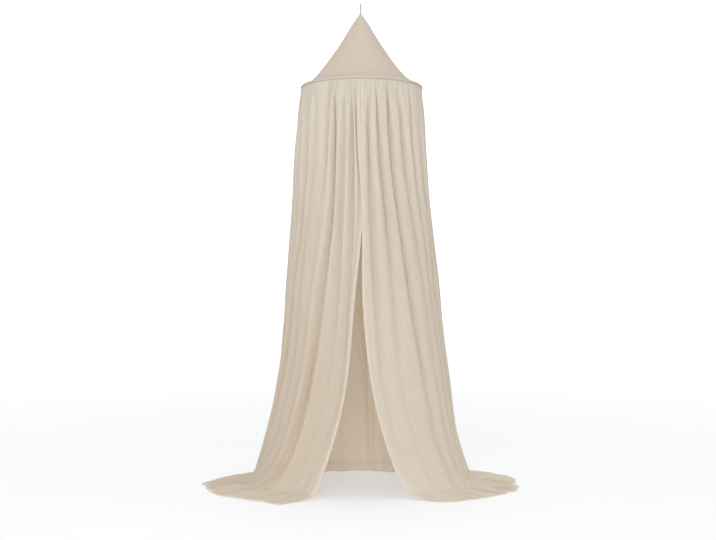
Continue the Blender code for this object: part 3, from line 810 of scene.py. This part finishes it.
def drawn(panel, turn, share):
    """The turn after the folds have been drawn this share of their way towards the side tip."""
    away = np.abs(turn)
    nearness = np.exp(-(((away - TIP_TURN) / TIP_SPREAD) ** 2)) * eased((away - CALM_TURN) / CALM_SPREAD)
    return turn + panel.side * panel.tip_pull * nearness * share


def stepped(marks, steps):
    """The marks with this many equal steps between each two."""
    places = np.arange((len(marks) - 1) * steps + 1) / steps
    return np.interp(places, np.arange(len(marks)), marks)


def rearward(turn):
    """From 0 in front to 1 behind, where the hem lies out of sight."""
    return eased((np.abs(turn) - REAR_TURN) / 20)


def panel_middle(panel):
    """The grid of the middle of a panel's cloth, from the seam behind to the front edge, its depths in the
    folds, and the height of each row, which goes on from 0 to -1 over the floor."""
    heights = stepped(HANGING_ROWS, HANGING_STEPS)
    turn, depth = panel_columns(panel, heights)
    swing = SWUNG_HANGING * np.maximum(0, 1 - heights / SWING_START)[:, None]
    pull = np.maximum(0, 1 - heights / TIP_START)[:, None] ** 2
    turn = drawn(panel, swung(panel, turn, swing), pull)
    bulge = np.exp(-(((heights - BULGE_HEIGHT) / BULGE_SPREAD) ** 2))[:, None]
    bulge = REAR_BULGE * rearward(turn) * bulge
    x, y = on_oval(outline(heights)[:, None] - (depth + bulge)[..., None], turn)
    hanging = np.stack([x, y, np.broadcast_to(FLOOR_Z + heights[:, None], x.shape)], axis=2)
    depths = depth

    shares = stepped(LYING_ROWS, LYING_STEPS)[1:, None]
    foot = heights[-1]
    turn, depth = panel_columns(panel, heights[-1:])
    turn = swung(panel, turn, swing[-1] + (1 - swing[-1]) * shares)
    turn = drawn(panel, turn, pull[-1] + (1 - pull[-1]) * eased(shares / 0.5))
    reach = through([row.turn for row in HEM], [row.share for row in HEM], turn)
    reach = reach + HEM_FRILL / HEM_OVAL[0] * unevenness(turn, 0 * turn, 2.3, 1, 61)
    near = on_oval(outline(foot) - (depth + bulge[-1:] * (1 - shares))[..., None], turn)
    far = on_oval(np.array(HEM_OVAL), turn)
    x, y = [start + (end * reach - start) * shares for start, end in zip(near, far)]
    crest = HEM_CREST + (foot - HEM_CREST) * (1 - shares) ** 1.6
    crest = crest * (1 - 0.8 * rearward(turn))
    settling = SETTLING - (SETTLING - REAR_SETTLING) * rearward(turn)
    settled = 1 - np.maximum(0, 1 - shares / settling) ** 2
    lift = foot * (1 - settled) + (MUSLIN / 2 + crest * np.maximum(0, 1 - depth / FLAT_VALLEY)) * settled
    lying = np.stack([x, y, FLOOR_Z + lift], axis=2)
    depths = np.concatenate([depths, depth * (1 - shares)])
    return np.concatenate([hanging, lying]), depths, np.concatenate([heights, -shares[:, 0]])


def from_side(points):
    """Distance of each point of a grid from the grid's first column, along its row."""
    return run_along(np.swapaxes(points, 0, 1)).T


def cut_places(middle):
    """Where each point of a panel was on the flat cloth: metres from the seam behind, and from the top."""
    across = from_side(middle[:HANGING_SAMPLE]).mean(axis=0)
    return np.meshgrid(across * CUT_WIDTH / across[-1], run_along(middle).mean(axis=1))


def on_floor(heights):
    """From 0 where the cloth hangs to 1 where it lies on the floor."""
    return eased(-2 * heights)[:, None]


def muslin_relief(panel, across, down, heights, to_seam, to_edge):
    """How far the cloth stands out from its folds: gathers at the top, soft waves and crinkles below, and
    ripples on the floor. Also the creases between those ripples, from 0 to 1, where shade is painted."""
    height = heights[:, None]
    lying = on_floor(heights)
    below = TOP_EDGE - height
    gathers = (1 - np.abs(unevenness(across, down, 0.027, 0.30, panel.seed))) ** 4
    depth = GATHER_DEPTH * (1 - eased(below / GATHER_FADE)) + GATHER_REST
    relief = -gathers * eased((below - 0.003) / 0.012) * depth
    for number, wave in enumerate(WAVES, 1):
        cells = unevenness(across, down, wave.across, wave.down, panel.seed + number)
        relief = relief + wave.height * cells * eased(below / wave.start)
    behind = 1 - eased((to_seam - 0.10) / 0.15)
    relief = relief * (1 + REAR_RELIEF * behind * eased((1.3 - height) / 0.3))
    waves = np.abs(unevenness(across, down, 0.034, 0.25, panel.seed + 4))
    fine = np.abs(unevenness(across, down, 0.013, 0.05, panel.seed + 5))
    spread = eased((to_edge - 0.05) / 0.25)
    ripples = (waves * panel.ripple_height + fine * FINE_RIPPLES) * (0.15 + 0.85 * spread)
    relief = relief * (1 - lying) + ripples * lying * (1 - HEM_CALM * height ** 2)
    creases = eased(1 - waves / CREASE_WIDTH) * lying * spread * eased((1 + height) / 0.25)
    return relief * eased(to_seam / 0.02), creases


MUSLIN_COLOR = (0.80, 0.755, 0.68)
MUSLIN_GLOW = (0.87, 0.81, 0.725)
HEM_COLOR = (0.80, 0.755, 0.675)
FOLD_SHADE_COLOR = (0.80, 0.725, 0.59)  # painted shade deep in the folds and in the creases on the floor
FOLD_SHADE_GLOW = (0.87, 0.765, 0.62)
FOLD_SHADE_SHARE = 0.68  # share of that painted shade in the deepest folds
GATHER_SHADE = 0.22  # and in the gathers at the top
SHADE_COLOR = (0.74, 0.665, 0.57)  # painted shade beside the seam behind, in creases on the floor, and low on the left
SHADE_GLOW = (0.80, 0.71, 0.605)
SEAM_SIDE_SHADE = 0.55  # share of that shade beside the seam
MUSLIN_SHEER = 0.58  # share of the light that passes the cloth
HEM_SHEER = -0.08  # added to it in the hems, and in the gathers
GATHER_SHEER = -0.12
MUSLIN_PITCH = 0.0009


def muslin_finish():
    material, tree, place = new_material("crinkled_muslin")
    hem, fold_shade, gather, shade = [marked(tree, mark) for mark in ("hem", "fold_shade", "gather", "shade")]
    fold = arithmetic(tree, "MULTIPLY", fold_shade, FOLD_SHADE_SHARE)
    crinkle = stretched_noise(tree, place, 0.0085, 0.075, detail=4.0, roughness=0.6)
    pinches = stretched_noise(tree, place, 0.0028, 0.014, detail=3.0)
    weave = plain_weave(tree, place, MUSLIN_PITCH)
    cloudy = stretched_noise(tree, place, 0.09, 0.20)
    color = mixed_color(tree, cloudy, shaded(MUSLIN_COLOR, -0.02), shaded(MUSLIN_COLOR, 0.02))
    color = mixed_color(tree, crinkle, shaded(MUSLIN_COLOR, -0.05), color)
    # painted shade in deep folds, in floor creases and in the gathers
    for share in (fold, arithmetic(tree, "MULTIPLY", gather, GATHER_SHADE)):
        color = mixed_color(tree, share, color, FOLD_SHADE_COLOR)
    color = mixed_color(tree, hem, color, HEM_COLOR)
    # painted shade beside the seam behind, in floor creases and low on the left panel
    color = mixed_color(tree, shade, color, SHADE_COLOR)
    normal = bumped(tree, crinkle, 0.0024)
    normal = bumped(tree, pinches, 0.0009, normal)
    normal = bumped(tree, weave, 0.00012, normal)
    # the light passing through the cloth gets the same painted shade
    glow = mixed_color(tree, shade, mixed_color(tree, fold, MUSLIN_GLOW, FOLD_SHADE_GLOW), SHADE_GLOW)
    sheer = arithmetic(tree, "MULTIPLY_ADD", hem, HEM_SHEER, MUSLIN_SHEER)
    sheer = arithmetic(tree, "MULTIPLY_ADD", gather, GATHER_SHEER, sheer)
    cover(tree, color, normal, 0.92, sheen=0.1, specular=0.15, passing=(sheer, glow))
    return material


muslin = muslin_finish()


def hang(panel):
    middle, depths, heights = panel_middle(panel)
    across, down = cut_places(middle)
    to_seam = from_side(middle)
    to_edge = from_side(middle[:, ::-1])[:, ::-1]
    to_hem = down[-1:] - down
    normals = grid_normals(middle) * -panel.side
    relief, creases = muslin_relief(panel, across, down, heights, to_seam, to_edge)
    lying = on_floor(heights)[..., None]
    middle = middle + (normals * (1 - lying) + np.array((0.0, 0.0, 1.0)) * lying) * relief[..., None]
    hem = 1 - eased((np.minimum(to_edge, to_hem) - HEM_WIDTH + HEM_BLEND / 2) / HEM_BLEND)
    fell = 1 - eased((to_seam - FELL_WIDTH + HEM_BLEND / 2) / HEM_BLEND)
    thickness = MUSLIN + HEM_THICKNESS * np.maximum(hem, fell)
    middle[..., 0] += HOOP_SHIFT
    middle[..., 2] = np.maximum(middle[..., 2], FLOOR_Z + thickness / 2 + CLEARANCE)
    seam_shade = SEAM_SIDE_SHADE * (1 - eased((to_seam - 0.10) / 0.25))
    low_shade = panel.low_shade * eased((1.0 - heights) / 0.6)[:, None]
    gather = 1 - eased((TOP_EDGE - heights) / 0.7)[:, None]
    marks = {
        "hem": np.maximum(hem, fell) * (1 - gather),
        # painted shade in deep folds and in the creases on the floor
        "fold_shade": np.maximum(eased((depths - 0.006) / 0.026), creases),
        # painted shade beside the seam behind, in the creases on the floor and low on the left panel
        "shade": np.maximum(np.maximum(seam_shade, creases), low_shade) * (1 - 0.8 * hem),
        "gather": np.tile(gather, (1, depths.shape[1])),
    }
    if panel.side > 0:
        middle, across, down, thickness = [grid[:, ::-1] for grid in (middle, across, down, thickness)]
        marks = {mark: grid[:, ::-1] for mark, grid in marks.items()}
    normals = grid_normals(middle)
    normals[:, 0 if panel.side < 0 else -1, 0] = 0
    normals /= np.linalg.norm(normals, axis=2, keepdims=True)
    cut = np.stack([across, down], axis=2)
    piece = cloth_shell(panel.name, middle, normals, thickness, cut, muslin, marks=marks)
    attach(piece, "root")
    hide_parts(panel.node)
    surface = middle + normals * thickness[..., None] / 2
    return piece, surface if panel.side < 0 else surface[:, ::-1]


left_panel, left_surface = hang(LEFT)
right_panel, right_surface = hang(RIGHT)

# ---- Stitching of the panels ----
# One row of lockstitch holds the turned hem of each front edge and of the floor edge, and one row the
# felled seam behind.

HEM_STITCH = 0.0105  # from the edge
FELL_STITCH = 0.0065  # from the middle of the seam


def beside(surface, distance):
    """The line on a cloth's surface that runs this far from its first column."""
    rows = zip(from_side(surface), surface)
    return np.array([[np.interp(distance, run, row[:, axis]) for axis in range(3)] for run, row in rows])


def stitch_panel(name, surface):
    floor_first = surface[::-1].transpose(1, 0, 2)
    rows = ((surface[2:-4, ::-1], HEM_STITCH), (floor_first, HEM_STITCH), (surface[2:], FELL_STITCH))
    stitches = stitched(name, [(beside(*row), False) for row in rows], 7)


stitch_panel("left_panel_stitches", left_surface)
stitch_panel("right_panel_stitches", right_surface)

# ---- Studio ----
# A plain white floor that glows a little, white light from all round, a soft box in front and another high
# overhead. The camera stands a little over four metres off, level, at the eye height of a child.

PHOTO_WIDTH = 716
EYE_HEIGHT = 0.82
EYE_DISTANCE = 4.40
FOCAL_PIXELS = 1059.5
SHIFT_X_PIXELS = -2.6
SHIFT_Y_PIXELS = 17.0
SENSOR = 36.0
FLOOR_SIZE = 40.0
FLOOR_CORNERS = ((-1, -1), (1, -1), (1, 1), (-1, 1))
FLOOR_GAP = 0.0003  # under the cloth
FLOOR_COLORS = ((0.47, 0.48, 0.49), (0.49, 0.50, 0.51))

FRONT_LIGHT = 0.95  # strength of the white light from the front, and from the backdrop
BACK_LIGHT = 1.4
ZENITH_SHARE = 0.6  # how strong the white light is from straight above, against level
NEAR_GLOW = 0.40  # of the floor, under the canopy and far off, where it runs into the surround
FAR_GLOW = 0.58
GLOW_START = 2.4  # distances from the hook between which it changes
GLOW_END = 7.0
LAMP_AIM = (0, 0, -1.1)

Lamp = namedtuple("Lamp", "name place size power")
LAMPS = (
    Lamp("front_box", (-0.3, -5.2, -0.5), 2.6, 135.0),
    Lamp("overhead", (0.2, -0.6, 6.0), 2.5, 132.0),
)


def ranged(tree, value, start, end, low, high):
    """From low to high while the value goes from start to end."""
    inputs = [("Value", value), ("From Min", start), ("From Max", end), ("To Min", low), ("To Max", high)]
    return add_node(tree, "MapRange", inputs).outputs[0]


def floor_finish():
    material, tree, place = new_material("white_floor", on_cloth=False)
    worn = noise(tree, place, 3.0, 3.0, roughness=0.5)
    color = mixed_color(tree, worn, *FLOOR_COLORS)
    distance = add_node(tree, "VectorMath", [(0, place)], operation="LENGTH").outputs["Value"]
    glow = ranged(tree, distance, GLOW_START, GLOW_END, NEAR_GLOW, FAR_GLOW)
    shader = add_node(
        tree, "BsdfPrincipled",
        [("Base Color", color), ("Roughness", 0.8), ("Specular IOR Level", 0.2),
         ("Emission Color", (1, 1, 1, 1)), ("Emission Strength", glow)],
    )
    add_node(tree, "OutputMaterial", [("Surface", shader.outputs[0])])
    return material


def studio():
    corners = [(x * FLOOR_SIZE / 2, y * FLOOR_SIZE / 2, FLOOR_Z - FLOOR_GAP) for x, y in FLOOR_CORNERS]
    mesh = bpy.data.meshes.new("floor")
    mesh.from_pydata(corners, [], [(0, 1, 2, 3)])
    mesh.materials.append(floor_finish())
    in_scene("floor", mesh)
    for lamp in LAMPS:
        light = bpy.data.lights.new(lamp.name, "AREA")
        light.size = lamp.size
        light.energy = lamp.power
        box = in_scene(lamp.name, light)
        box.location = lamp.place
        box.rotation_euler = (Vector(LAMP_AIM) - box.location).to_track_quat("-Z", "Y").to_euler()
    world = bpy.data.worlds.new("white_surround")
    world.use_nodes = True
    tree = world.node_tree
    surround = tree.nodes["Background"]
    surround.inputs["Color"].default_value = (1, 1, 1, 1)
    toward = add_node(tree, "SeparateXYZ", [(0, add_node(tree, "TexCoord").outputs["Generated"])]).outputs
    level = ranged(tree, toward[1], -0.2, 0.5, FRONT_LIGHT, BACK_LIGHT)
    strength = arithmetic(tree, "MULTIPLY", level, ranged(tree, toward[2], 0, 1, 1, ZENITH_SHARE))
    tree.links.new(strength, surround.inputs["Strength"])
    bpy.context.scene.world = world
    bpy.context.scene.view_settings.view_transform = "Standard"
    lens = bpy.data.cameras.new("camera")
    lens.sensor_fit = "HORIZONTAL"
    lens.sensor_width = SENSOR
    lens.lens = SENSOR * FOCAL_PIXELS / PHOTO_WIDTH
    lens.shift_x = SHIFT_X_PIXELS / PHOTO_WIDTH
    lens.shift_y = SHIFT_Y_PIXELS / PHOTO_WIDTH
    camera = in_scene("camera", lens)
    camera.location = (0, -EYE_DISTANCE, FLOOR_Z + EYE_HEIGHT)
    camera.rotation_euler = (math.pi / 2, 0, 0)
    bpy.context.scene.camera = camera


studio()
